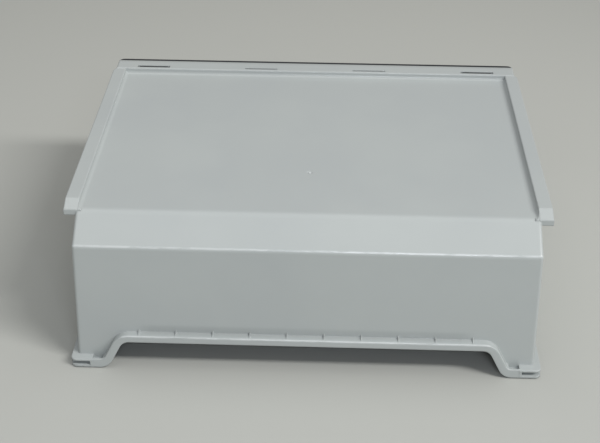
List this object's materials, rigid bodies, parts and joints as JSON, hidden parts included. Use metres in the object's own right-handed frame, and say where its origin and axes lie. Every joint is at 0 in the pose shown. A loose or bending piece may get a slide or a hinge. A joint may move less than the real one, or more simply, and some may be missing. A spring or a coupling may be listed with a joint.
{
  "type": "fridge drawer",
  "caption": "Shallow pull-out fridge drawer bin with drafted walls, slanted lower rear, skid rails, runner channels along the rim and a thin dark front cover.",
  "frame": {"origin": "middle of the bounding box's base, on the rim plane that the drawer rests on, open side down", "axes": "+X across the drawer, +Y towards the front cover, +Z from the rim plane towards the floor panel"},
  "size_m": [0.46, 0.379, 0.1635],
  "materials": {
    "bin_plastic": "pale bluish-grey moulded plastic with a fine satin grain",
    "cover_plastic": "dark smoke-grey moulded plastic, smooth satin gloss"
  },
  "bodies": {
    "root": {"bin": "bin_plastic", "front_cover": "cover_plastic"}
  },
  "joints": []
}
